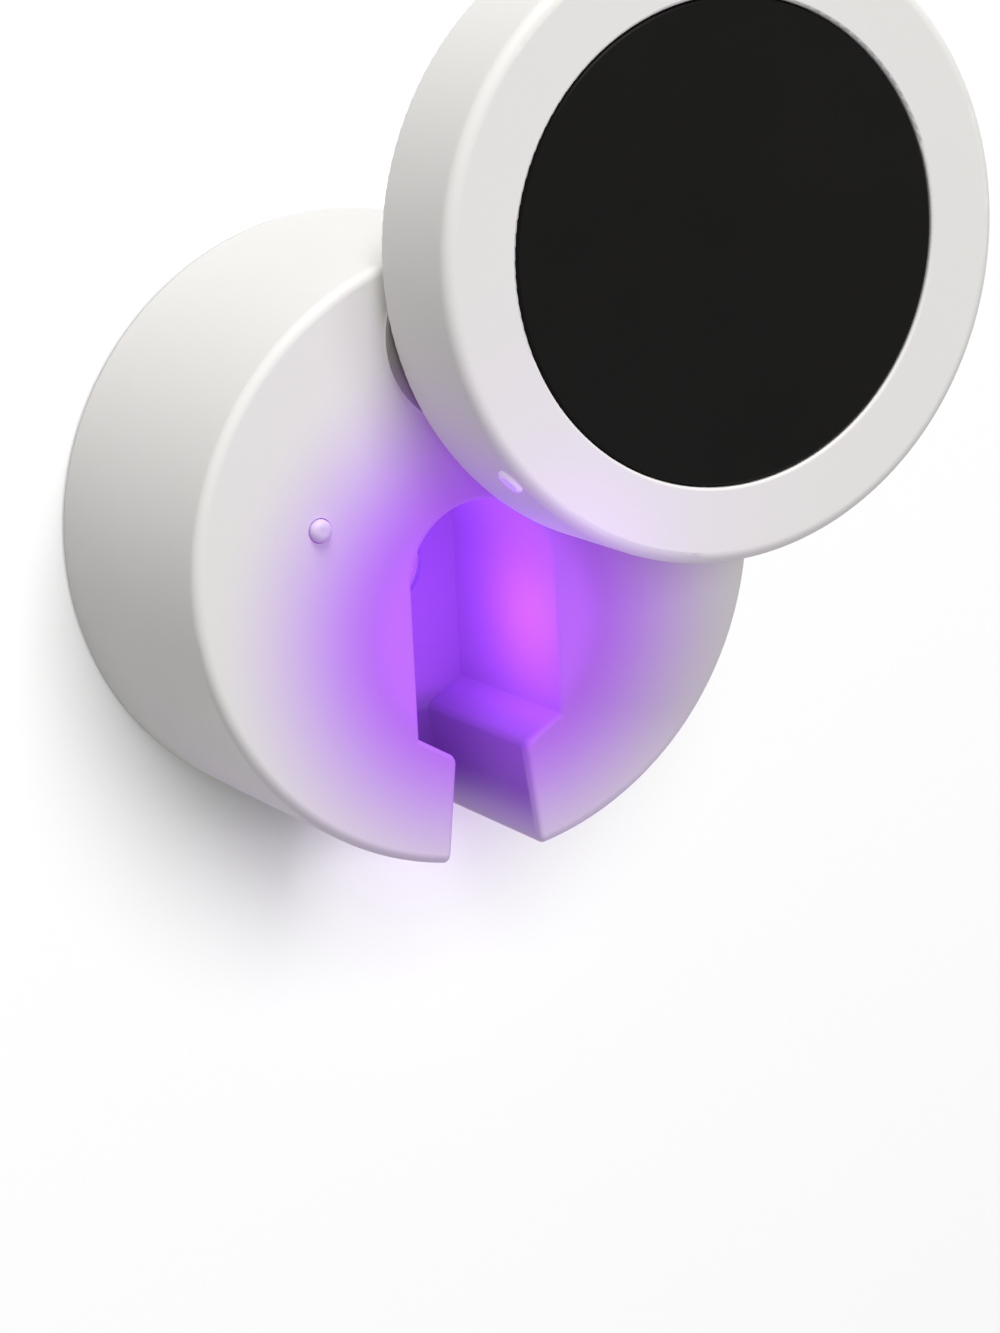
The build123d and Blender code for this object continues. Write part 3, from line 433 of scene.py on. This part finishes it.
# %% [markdown]
# ## Lamps and their window
#
# The lamps sit in white ceramic packages, under a quartz window, since glass and plastic would eat
# the short ultraviolet that does the work.
# What the eye sees of them is the violet end of their light, in the dish of each package.
# The window is no lamp; a violet glow is painted on it as emission.

# %% Quartz and ceramic
LAMP_VIOLET = linear("#8a40ff")

# Painted glow: the window shines violet by its own emission.
quartz = finish(
    "clear_quartz", "#f3ecff", "#fbf8ff", (0.01, 0.04), cloud=5, depth=0.0002,
    Transmission_Weight=1.0, IOR=1.46, Emission_Color=LAMP_VIOLET, Emission_Strength=0.5,
)
dress(quartz, "uv_window")
ceramic = finish(
    "lamp_ceramic", "#e6e1ee", "#f0ecf6", (0.5, 0.65), cloud=1, grain=0.1,
    Emission_Color=LAMP_VIOLET, Emission_Strength=0.6,
)
dress(ceramic, "uv_lamps")

# %% [markdown]
# ## Electronics
#
# The main board and the button's are woven glass and epoxy under a green mask, and the weave shows
# through the mask as a fine check of about 0.6 mm.
# The lamp board has an aluminium core under a white mask, to carry the lamps' heat away.
# Chips are moulded in black epoxy, filled with silica, and look like slate.
# The cell is a soft pouch of aluminium laminate, with the faint dents of its foil.
# The connectors are moulded in ivory nylon, and the wires wear soft PVC sleeves, red at the cell and
# grey elsewhere; both are even and satin.

# %% Boards
WEAVE = 0.6 * MM
WEAVE_DEPTH = 0.01 * MM
WEAVE_RELIEF = 0.5
WAVE_BAND = math.pi / 10


def green_mask():
    """Return the board's mask: the wave texture has a band every tenth of pi at scale 1."""
    material, tree, shader, place, _ = start_finish(
        "green_mask", "#0f4a2a", "#155634", (0.2, 0.32), cloud=5,
    )
    inputs = {"Vector": place, "Scale": WAVE_BAND / WEAVE}
    across = add(tree, "ShaderNodeTexWave", inputs, bands_direction="X").outputs["Fac"]
    along = add(tree, "ShaderNodeTexWave", inputs, bands_direction="Z").outputs["Fac"]
    check = add(tree, "ShaderNodeMath", {0: across, 1: along}, operation="MULTIPLY")
    inputs = {"Height": check, "Strength": WEAVE_RELIEF, "Distance": WEAVE_DEPTH}
    feed(shader, {"Normal": add(tree, "ShaderNodeBump", inputs)})
    return material


dress(green_mask(), "main_board", "button_board")
dress(finish("white_mask", "#e2e2df", "#ebebe8", (0.25, 0.4), cloud=4), "uv_lamp_board")

# %% Chips, cell and wires
slate = finish("chip_epoxy", "#1b1b1c", "#262627", (0.45, 0.6), cloud=1.5, grain=0.1)
dress(slate, "board_chips", "hall_sensor", "socket_tongue", "button_switch")
dress(finish("ivory_nylon", "#d8d2bf", "#e3ddcb", (0.4, 0.5), cloud=2), "board_connectors")
foil = finish(
    "cell_laminate", "#b4b6b8", "#c8cacc", (0.25, 0.4), cloud=6, grain=2.5, depth=0.05, Metallic=0.8,
)
dress(foil, "battery_cell")
dress(finish("red_sleeve", "#8f1d14", "#a5251a", (0.35, 0.5), cloud=2), "battery_leads")
sleeve = finish("grey_sleeve", "#5f6062", "#6c6d70", (0.4, 0.55), cloud=2)
dress(sleeve, "lamp_lead", "case_harness", "lid_harness")

# %% [markdown]
# ## Growing what repeats
#
# Ribs, dies, pads and chip parts repeat by a rule, so Geometry Nodes grow them: a rule with named
# sizes is easier to change than a heap of meshes.
# Each tree is built here, run once and kept as a plain mesh, in the place where it belongs.
# All of them share one shape, a small pad with rounded corners, cut from a filled outline.

# %% Geometry Nodes helpers
SOCKETS = {int: "NodeSocketInt", float: "NodeSocketFloat", tuple: "NodeSocketVector"}
CORNER_POINTS = 4
TO_ROOM = (math.pi / 2, 0.0, 0.0)
TO_WALL = (-math.pi / 2, 0.0, 0.0)


def grow(name, build, material, body, sizes):
    """Grow a piece from a rule with named sizes, keep it as a mesh and let it ride on a body."""
    tree = bpy.data.node_groups.new(name, "GeometryNodeTree")
    tree.interface.new_socket("Geometry", in_out="OUTPUT", socket_type="NodeSocketGeometry")
    sockets = {}
    for label, value in sizes.items():
        kind = SOCKETS[type(value)]
        sockets[label] = tree.interface.new_socket(label, in_out="INPUT", socket_type=kind)
    grown = build(tree, add(tree, "NodeGroupInput").outputs)
    real = add(tree, "GeometryNodeRealizeInstances", {"Geometry": grown})
    painted = add(tree, "GeometryNodeSetMaterial", {"Geometry": real, "Material": material})
    add(tree, "NodeGroupOutput", {"Geometry": painted})
    piece = bpy.data.objects.new(name, bpy.data.meshes.new(name))
    bpy.context.scene.collection.objects.link(piece)
    modifier = piece.modifiers.new("grow", "NODES")
    modifier.node_group = tree
    for label, value in sizes.items():
        modifier[sockets[label].identifier] = value
    graph = bpy.context.evaluated_depsgraph_get()
    mesh = bpy.data.meshes.new_from_object(piece.evaluated_get(graph), depsgraph=graph)
    piece.modifiers.remove(modifier)
    piece.data = mesh
    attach(piece, body)
    print(name, "has", len(mesh.polygons), "faces")


def pad(tree, width, length, corner, height):
    """Return a pad with rounded corners that stands on the local floor and points up."""
    outline = add(tree, "GeometryNodeCurvePrimitiveQuadrilateral", {"Width": width, "Height": length})
    inputs = {"Curve": outline, "Radius": corner, "Count": CORNER_POINTS}
    rounded = add(tree, "GeometryNodeFilletCurve", inputs, mode="POLY")
    sheet = add(tree, "GeometryNodeFillCurve", {"Curve": rounded}, mode="NGONS")
    return add(tree, "GeometryNodeExtrudeMesh", {"Mesh": sheet, "Offset Scale": height})


# %% [markdown]
# ## Light-emitting dies
#
# Each lamp carries four square dies in its dish, with a narrow street between them.
# They are the brightest points that show through the window.
# A grid with a point for each die carries the dies, and a grid with a point for each lamp carries that.

# %% Dies in the lamps
DISH_DEPTH = 0.6 * MM
LAMP_SIZE = lamps_high.x - lamps_low.x
LAMP_PITCH = lamps_high.z - lamps_low.z - LAMP_SIZE


def lamp_dies(tree, sizes):
    """Stand a square of dies in each lamp of one column."""
    inputs = {"Size Y": sizes["Lamp pitch"], "Vertices X": 1, "Vertices Y": sizes["Lamps"]}
    lamps = add(tree, "GeometryNodeMeshGrid", inputs)
    inputs = {
        "Size X": sizes["Die pitch"], "Size Y": sizes["Die pitch"],
        "Vertices X": sizes["Dies each way"], "Vertices Y": sizes["Dies each way"],
    }
    corners = add(tree, "GeometryNodeMeshGrid", inputs)
    die = pad(tree, sizes["Die"], sizes["Die"], sizes["Corner"], sizes["Height"])
    square = add(tree, "GeometryNodeInstanceOnPoints", {"Points": corners, "Instance": die})
    column = add(tree, "GeometryNodeInstanceOnPoints", {"Points": lamps, "Instance": square})
    inputs = {"Geometry": column, "Rotation": TO_ROOM, "Translation": sizes["Place"]}
    return add(tree, "GeometryNodeTransform", inputs)


die_glow = finish(
    "lit_die", "#c9a2ff", "#d8bcff", (0.3, 0.4), cloud=0.5, grain=0.1, depth=0.0005,
    Emission_Color=linear("#a763ff"), Emission_Strength=4.0,
)
dish_floor = (0.0, lamps_low.y + DISH_DEPTH, (lamps_low.z + lamps_high.z) / 2)
grow(
    "lamp_dies", lamp_dies, die_glow, "case",
    {
        "Lamp pitch": LAMP_PITCH, "Lamps": 2, "Dies each way": 2, "Die pitch": 0.8 * MM,
        "Die": 0.65 * MM, "Corner": 0.04 * MM, "Height": 0.15 * MM, "Place": dish_floor,
    },
)

# %% [markdown]
# ## Grip ribs on the port plug
#
# The plug is flush with the drum, so a row of low ribs gives a fingernail something to push on.
# They stand on an arc with the drum's own radius, each square to the surface under it.

# %% Ribs on the plug
RIB_SPREAD = math.radians(15)
RIB_SUNK = 0.05 * MM


def plug_ribs(tree, sizes):
    """Stand ribs on an arc, each along the plug and square to it."""
    half_back = add(tree, "ShaderNodeMath", {0: sizes["Spread"], 1: -0.5}, operation="MULTIPLY")
    inputs = {
        "Resolution": sizes["Ribs"], "Radius": sizes["Drum radius"], "Sweep Angle": sizes["Spread"],
        "Start Angle": half_back,
    }
    arc = add(tree, "GeometryNodeCurveArc", inputs, mode="RADIUS")
    points = add(tree, "GeometryNodeCurveToPoints", {"Curve": arc}, mode="EVALUATED")
    outward = add(tree, "GeometryNodeInputPosition")
    upright = add(tree, "FunctionNodeAlignRotationToVector", {"Vector": outward}, axis="Z")
    inputs = {"Rotation": upright, "Vector": (0.0, 0.0, 1.0)}
    along = add(tree, "FunctionNodeAlignRotationToVector", inputs, axis="Y", pivot_axis="Z")
    rib = pad(tree, sizes["Width"], sizes["Length"], sizes["Corner"], sizes["Height"])
    inputs = {"Points": points, "Instance": rib, "Rotation": along}
    ribs = add(tree, "GeometryNodeInstanceOnPoints", inputs)
    inputs = {"Geometry": ribs, "Rotation": TO_ROOM, "Translation": sizes["Place"]}
    return add(tree, "GeometryNodeTransform", inputs)


plug_middle = (0.0, (plug_low.y + plug_high.y) / 2, 0.0)
grow(
    "plug_ribs", plug_ribs, silicone, "port_cap",
    {
        "Ribs": 7, "Drum radius": drum_radius - RIB_SUNK, "Spread": RIB_SPREAD, "Width": 0.5 * MM,
        "Length": 4.0 * MM, "Corner": 0.24 * MM, "Height": 0.3 * MM, "Place": plug_middle,
    },
)

# %% [markdown]
# ## Chip parts on the main board
#
# Small resistors and capacitors stand in rows between the chips, and legs line the controller; these
# are copper with bright tin on it.
# A board never has a full grid, so a seeded draw leaves some places empty.

# %% Small parts on the board
PARTS_EACH_WAY = 4
SHARE_KEPT = 0.8
FIELD_X = 14.6 * MM
FIELD_Z = -3.2 * MM


def small_parts(tree, sizes):
    """Stand small parts on a grid and leave some places empty."""
    inputs = {
        "Size X": sizes["Width of field"], "Size Y": sizes["Height of field"],
        "Vertices X": PARTS_EACH_WAY, "Vertices Y": PARTS_EACH_WAY,
    }
    grid = add(tree, "GeometryNodeMeshGrid", inputs)
    inputs = {"Probability": SHARE_KEPT, "Seed": sizes["Seed"]}
    draw = add(tree, "FunctionNodeRandomValue", inputs, data_type="BOOLEAN")
    part = pad(tree, sizes["Length"], sizes["Width"], sizes["Corner"], sizes["Height"])
    inputs = {"Points": grid, "Instance": part, "Selection": draw}
    parts = add(tree, "GeometryNodeInstanceOnPoints", inputs)
    inputs = {"Geometry": parts, "Rotation": TO_WALL, "Translation": sizes["Place"]}
    return add(tree, "GeometryNodeTransform", inputs)


field_place = (FIELD_X, board_rear, FIELD_Z)
grow(
    "small_parts", small_parts, slate, "case",
    {
        "Width of field": 5.4 * MM, "Height of field": 4.4 * MM, "Length": 1.0 * MM, "Width": 0.5 * MM,
        "Corner": 0.08 * MM, "Height": 0.35 * MM, "Seed": 7, "Place": field_place,
    },
)

# %% Legs of the controller
CONTROLLER_X = 19.0 * MM
CONTROLLER_SIZE = 5.0 * MM
LEGS_OUT = 0.3 * MM


def chip_legs(tree, sizes):
    """Stand legs along a square outline."""
    inputs = {"Width": sizes["Chip"], "Height": sizes["Chip"]}
    outline = add(tree, "GeometryNodeCurvePrimitiveQuadrilateral", inputs)
    inputs = {"Curve": outline, "Count": sizes["Legs"]}
    points = add(tree, "GeometryNodeCurveToPoints", inputs, mode="COUNT")
    leg = pad(tree, sizes["Length"], sizes["Width"], sizes["Corner"], sizes["Height"])
    inputs = {"Points": points, "Instance": leg, "Rotation": points.outputs["Rotation"]}
    legs = add(tree, "GeometryNodeInstanceOnPoints", inputs)
    inputs = {"Geometry": legs, "Rotation": TO_WALL, "Translation": sizes["Place"]}
    return add(tree, "GeometryNodeTransform", inputs)


tin = finish("tinned_leg", "#b9bcc0", "#cfd2d6", (0.2, 0.35), cloud=0.5, grain=0.1, Metallic=1.0)
controller = (CONTROLLER_X, board_rear, chips_foot + CONTROLLER_SIZE / 2)
grow(
    "controller_legs", chip_legs, tin, "case",
    {
        "Chip": CONTROLLER_SIZE + LEGS_OUT, "Legs": 32, "Length": 0.6 * MM, "Width": 0.25 * MM,
        "Corner": 0.05 * MM, "Height": 0.12 * MM, "Place": controller,
    },
)

# %% [markdown]
# ## A stand-in for the nub's spring
#
# The nub on the face yields when the lid runs over it, and the coil spring under it gets shorter by as
# much.
# A solid can't do that, so a copy of the spring's mesh, with a mesh of its own, stands in for it, and
# the solid spring is hidden.

nub_spring = bpy.data.objects.new("nub_spring", nodes["detent_spring"].data.copy())
bpy.context.scene.collection.objects.link(nub_spring)
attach(nub_spring, "case")
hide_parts("detent_spring")
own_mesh(nub_spring)

# %% [markdown]
# ## Camera
#
# The camera's place and direction were solved from the round rims in the photograph, which also gave
# its long lens.

# %% Camera
LONG_SIDE_PX = 1333
FOCAL_PX = 3940.5
camera_place = Vector((-174.381, -348.195, 80.122)) * MM
camera_right = Vector((0.8685643, -0.49331471, -0.0472932))
camera_up = Vector((0.16025595, 0.18928484, 0.96875656))

camera_data = bpy.data.cameras.new("camera")
camera_data.lens = FOCAL_PX / LONG_SIDE_PX * camera_data.sensor_width
camera_data.clip_start = 10 * MM
camera = bpy.data.objects.new("camera", camera_data)
bpy.context.scene.collection.objects.link(camera)
turn = Matrix((camera_right, camera_up, camera_right.cross(camera_up))).transposed()
camera.matrix_world = Matrix.Translation(camera_place) @ turn.to_4x4()
bpy.context.scene.camera = camera
print("lens", round(camera_data.lens, 2), "mm")

# %% [markdown]
# ## Wall
#
# The case hangs on a wall painted plain white.
# The picture shows it as pure white, so its lamp is strong, and the paint throws back less light than
# it shows: otherwise the drum's sides would lose their shade.
# Its back face lets everything through, so that the case can be looked at from behind.
# For the same reason light passes it behind the case, and it stands a hair inside the soft pad.

# %% Wall
WALL_HALF = 3.0
WALL_IN_PAD = 0.05 * MM
OPEN_RADIUS = 29.5 * MM
WALL_SHOWN = 0.61
WALL_THROWN = 0.26


def showing(tree):
    """Return 1 for the rays that show what is behind: to the camera, off gloss and through glass."""
    path = add(tree, "ShaderNodeLightPath").outputs
    inputs = {0: path["Is Glossy Ray"], 1: path["Is Transmission Ray"]}
    bounced = add(tree, "ShaderNodeMath", inputs, operation="MAXIMUM")
    return add(tree, "ShaderNodeMath", {0: path["Is Camera Ray"], 1: bounced}, operation="MAXIMUM")


def wall_paint():
    """Return wall paint that shows paler than it throws light, and is clear from behind."""
    material = bpy.data.materials.new("white_wall_paint")
    material.use_nodes = True
    tree = material.node_tree
    tree.nodes.clear()
    seen = showing(tree)
    inputs = {"Value": seen, "To Min": WALL_THROWN, "To Max": WALL_SHOWN}
    level = add(tree, "ShaderNodeMapRange", inputs)
    paint = add(tree, "ShaderNodeCombineColor", {0: level, 1: level, 2: level})
    front = add(tree, "ShaderNodeBsdfDiffuse", {"Color": paint})
    back = add(tree, "ShaderNodeBsdfTransparent")
    place = add(tree, "ShaderNodeTexCoord").outputs["Object"]
    inputs = {0: distance_about(tree, place, Vector()), 1: OPEN_RADIUS}
    behind_case = add(tree, "ShaderNodeMath", inputs, operation="LESS_THAN")
    unseen = add(tree, "ShaderNodeMath", {0: behind_case, 1: seen}, operation="GREATER_THAN")
    side = add(tree, "ShaderNodeNewGeometry").outputs["Backfacing"]
    clear = add(tree, "ShaderNodeMath", {0: side, 1: unseen}, operation="MAXIMUM")
    surface = add(tree, "ShaderNodeMixShader", {0: clear, 1: front, 2: back})
    add(tree, "ShaderNodeOutputMaterial", {"Surface": surface})
    return material


wall_mesh = bpy.data.meshes.new("wall")
corners = [(x * WALL_HALF, -WALL_IN_PAD, z * WALL_HALF) for x, z in ((-1, -1), (1, -1), (1, 1), (-1, 1))]
wall_mesh.from_pydata(corners, [], [(0, 1, 2, 3)])
wall_mesh.materials.append(wall_paint())
wall = bpy.data.objects.new("wall", wall_mesh)
bpy.context.scene.collection.objects.link(wall)
print("wall", 2 * WALL_HALF, "m wide,", round(WALL_IN_PAD / MM, 2), "mm inside the pad")

# %% [markdown]
# ## Room light
#
# A shop picture of this kind is lit by a white room and one big lamp above, a little to the left.
# A weaker lamp in front, from the right, lets the lid throw its soft shade on the face.
# The wall has a lamp of its own in front, so that its shadow stays low and close to the drum, and the
# lid, which stands off the wall, throws none.
# One more lamp stands behind the wall, for the parts that are only seen from there; the wall lets it
# pass behind the case alone, so it draws no edge round the drum in the picture.

# %% Room and softboxes
ROOM_LIGHT = 0.365
LAMP_AWAY = 1.5
TARGET = Vector((10, -30, 10)) * MM

world = bpy.data.worlds.new("room")
bpy.context.scene.world = world
world.use_nodes = True
tree = world.node_tree
tree.nodes.clear()
level = add(tree, "ShaderNodeMapRange", {"Value": showing(tree), "To Min": ROOM_LIGHT})
room = add(tree, "ShaderNodeBackground", {"Color": (1.0, 1.0, 1.0, 1.0), "Strength": level})
add(tree, "ShaderNodeOutputWorld", {"Surface": room})


def gather(name, things):
    """Gather things in a collection that a lamp can be linked to."""
    members = bpy.data.collections.new(name)
    for thing in things:
        members.objects.link(thing)
    return members


def softbox(name, direction, size, level, lit, shading):
    """Add a square lamp: at level 1 it shows a facing white surface as white."""
    data = bpy.data.lights.new(name, "AREA")
    data.size = size
    data.energy = level * math.pi**2 * LAMP_AWAY**2
    lamp = bpy.data.objects.new(name, data)
    toward = Vector(direction).normalized()
    lamp.location = TARGET + toward * LAMP_AWAY
    lamp.rotation_euler = toward.to_track_quat("Z", "Y").to_euler()
    lamp.visible_camera = False
    bpy.context.scene.collection.objects.link(lamp)
    lamp.light_linking.receiver_collection = gather("lit_by_" + name, lit)
    lamp.light_linking.blocker_collection = gather("shading_" + name, shading)
    print(name, "gives", round(data.energy, 2), "W")


shown = [thing for thing in bpy.context.scene.objects if thing.type == "MESH" and thing != wall]
fixed = [thing for thing in shown if thing.parent.name not in ("body:lid", "body:button")]
backs = [thing for thing in shown if thing.parent.name == "body:wall_mount"]
backs += [nodes["base_shell"], nodes["rear_cover"]]

softbox("top_softbox", (-0.10, -0.40, 0.91), size=0.7, level=0.81, lit=shown, shading=shown)
softbox("front_softbox", (0.22, -1.0, 0.3), size=0.64, level=0.23, lit=shown, shading=shown)
softbox("wall_softbox", (-0.14, -1.0, 0.38), size=0.95, level=1.64, lit=[wall], shading=fixed)
softbox("back_softbox", (0.0, 1.0, 0.0), size=0.2, level=0.5, lit=backs, shading=backs + [wall])

# %% [markdown]
# ## Violet light
#
# One flat lamp stands in for the lamps and lights the pocket's far wall from inside.
# A second one, at the pocket's mouth, shines on the lid's side and the underside of the ring, and a
# third in front of the case gives the faint violet haze on the ring and on the wall.
# The neck is open at its foot, so a fourth lights the wall below it.

# %% Violet lamps
VIOLET = linear("#ab30ff")[:3]
PINK_VIOLET = linear("#f5b8ff")[:3]
BLUE_VIOLET = linear("#842cff")[:3]
PALE_VIOLET = linear("#dcb6ff")[:3]


def violet_lamp(name, place, size, power, direction, colour, lit=None):
    """Add a flat lamp: place and size in mm, power in W, and what it lights if that isn't all."""
    data = bpy.data.lights.new(name, "AREA")
    data.shape = "RECTANGLE"
    data.size, data.size_y = [side * MM for side in size]
    data.energy = power
    data.color = colour
    lamp = bpy.data.objects.new(name, data)
    lamp.location = Vector(place) * MM
    lamp.rotation_euler = Vector(direction).to_track_quat("-Z", "Z").to_euler()
    lamp.visible_camera = False
    lamp.visible_glossy = False
    bpy.context.scene.collection.objects.link(lamp)
    if lit:
        lamp.light_linking.receiver_collection = gather("lit_by_" + name, lit)
    print(name, "gives", round(power * 1000, 2), "mW")


window_middle = (window_low + window_high) / 2 / MM
face_mm = face_y / MM
in_pocket = (-1, face_mm + 6, window_middle.z - 6)
at_mouth = (-1, face_mm - 4, -6)
before_face = (0, face_mm - 25, -4)
below_neck = (9.5, -12, -32.5)

violet_lamp(
    "pocket_lamp", in_pocket, size=(6, 8), power=0.0013, direction=(1, 0.1, 0.0), colour=PINK_VIOLET,
)
violet_lamp(
    "mouth_lamp", at_mouth, size=(8, 16), power=0.0005, direction=(0.25, -0.6, 0.75),
    colour=BLUE_VIOLET,
)
violet_lamp(
    "haze_lamp", before_face, size=(8, 8), power=0.0012, direction=(0.2, 0.5, 0.6), colour=VIOLET,
)
violet_lamp(
    "spill_lamp", below_neck, size=(14, 8), power=0.0013, direction=(0, 1, 0), colour=PALE_VIOLET,
    lit=[wall],
)

# %% [markdown]
# ## Colour transform
#
# The picture uses the plain colour transform, so the hex values above show as written.

# %% Colour transform
bpy.context.scene.view_settings.view_transform = "Standard"
